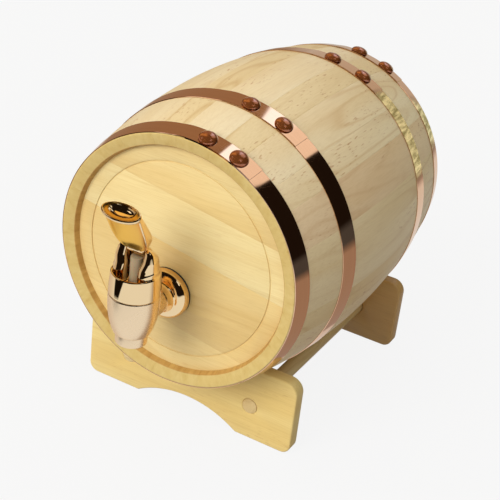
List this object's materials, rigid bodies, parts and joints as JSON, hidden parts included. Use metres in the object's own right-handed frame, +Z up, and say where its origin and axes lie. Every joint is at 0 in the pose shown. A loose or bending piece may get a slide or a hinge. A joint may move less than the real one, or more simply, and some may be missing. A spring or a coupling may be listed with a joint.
{
  "type": "cask liquor dispenser",
  "caption": "Small coopered cask with copper-coloured hoops lying in a two-plate wooden cradle, with a push-lever tap in its front head and a fill bung in the rear head.",
  "frame": {"origin": "on the table plane, under the middle of the whole object's box", "axes": "+Z up, the tap faces -Y, the cask axis lies along Y, +X is to the right seen from the front"},
  "size_m": [0.1716, 0.2519, 0.2011],
  "materials": {
    "stave_wood": "planed pale softwood, clear lacquer",
    "head_wood": "planed pale softwood boards, clear lacquer",
    "peg_wood": "plain wooden pegs",
    "hoop_copper": "polished copper-coloured strip",
    "rivet_copper": "dark copper-coloured dome",
    "cradle_wood": "sanded pale softwood, clear lacquer",
    "dowel_wood": "pale round dowel",
    "tap_plating": "polished pink-gold plating, satin on the spout",
    "black_rubber": "soft black rubber",
    "steel": "bare steel",
    "stem_plastic": "milky moulded plastic",
    "clear_silicone": "milky silicone",
    "bung_wood": "turned wood"
  },
  "bodies": {
    "cradle": {"cradle_front_plate": "cradle_wood", "cradle_rear_plate": "cradle_wood", "cradle_dowel_left": "dowel_wood", "cradle_dowel_right": "dowel_wood"},
    "cask": {"stave_01": "stave_wood", "stave_02": "stave_wood", "stave_03": "stave_wood", "stave_04": "stave_wood", "stave_05": "stave_wood", "stave_06": "stave_wood", "stave_07": "stave_wood", "stave_08": "stave_wood", "stave_09": "stave_wood", "stave_10": "stave_wood", "stave_11": "stave_wood", "stave_12": "stave_wood", "stave_13": "stave_wood", "stave_14": "stave_wood", "stave_15": "stave_wood", "stave_16": "stave_wood", "stave_17": "stave_wood", "stave_18": "stave_wood", "stave_19": "stave_wood", "stave_20": "stave_wood", "stave_21": "stave_wood", "stave_22": "stave_wood", "stave_23": "stave_wood", "stave_24": "stave_wood", "stave_25": "stave_wood", "stave_26": "stave_wood", "front_head_board_1": "head_wood", "front_head_board_2": "head_wood", "front_head_board_3": "head_wood", "front_head_board_4": "head_wood", "rear_head_board_1": "head_wood", "rear_head_board_2": "head_wood", "rear_head_board_3": "head_wood", "rear_head_board_4": "head_wood", "head_pins": "peg_wood", "front_end_hoop": "hoop_copper", "front_quarter_hoop": "hoop_copper", "rear_quarter_hoop": "hoop_copper", "rear_end_hoop": "hoop_copper", "hoop_rivets": "rivet_copper", "tap_body": "tap_plating", "tap_bonnet": "tap_plating", "spout_nozzle": "tap_plating", "tap_flange": "tap_plating", "flange_gasket": "black_rubber", "inner_gasket": "black_rubber", "shank_nut": "steel", "lever_pin": "steel", "stem_ring": "black_rubber"},
    "lever": {"lever": "tap_plating"},
    "plunger": {"valve_stem": "stem_plastic", "valve_seal": "clear_silicone", "valve_spring": "steel"},
    "bung": {"fill_bung": "bung_wood"}
  },
  "joints": [
    {"name": "cask_lift", "type": "slide", "parent": "cradle", "child": "cask", "axis": [0, 0, 1], "range_m": [0, 0.08]},
    {"name": "lever_press", "type": "hinge", "parent": "cask", "child": "lever", "pos_m": [-0.00463, -0.09665, 0.12807], "axis": [1, 0, 0], "range_deg": [0, 24], "stiffness_Nm_per_rad": 0.03, "springref_deg": -45.84},
    {"name": "stem_travel", "type": "slide", "parent": "cask", "child": "plunger", "axis": [0, 0, -1], "range_m": [0, 0.0021], "deforming": ["valve_spring"]},
    {"name": "bung_pull", "type": "slide", "parent": "cask", "child": "bung", "axis": [0, 1, 0], "range_m": [0, 0.025]}
  ],
  "couplings": [
    {"joint": "stem_travel", "follows": "lever_press", "m_per_rad": 0.00482}
  ]
}
